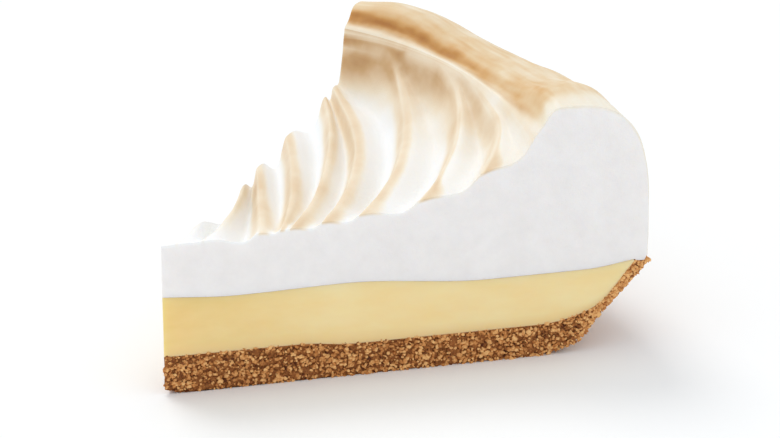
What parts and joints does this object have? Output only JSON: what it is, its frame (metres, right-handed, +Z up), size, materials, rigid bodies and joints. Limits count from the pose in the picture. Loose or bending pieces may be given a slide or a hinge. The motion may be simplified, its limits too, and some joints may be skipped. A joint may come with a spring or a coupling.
{
  "type": "lemon meringue pie slice",
  "caption": "Slice of lemon meringue pie: crumb crust, pale lemon filling and a deep meringue swept by spatula strokes into a toasted raised ring.",
  "frame": {"origin": "middle of the slice's footprint, on the surface that it rests on", "axes": "+Z up, +X along the slice's bisector from its point to its rim, with one cut facing -Y and the other +Y"},
  "size_m": [0.1136, 0.0984, 0.0642],
  "materials": {
    "crust": "baked biscuit crumb",
    "lemon_filling": "smooth set custard, faint gloss",
    "meringue": "soft baked meringue, white below and toasted on its crests"
  },
  "bodies": {
    "root": {"crust": "crust", "lemon_filling": "lemon_filling", "meringue": "meringue"}
  },
  "joints": []
}
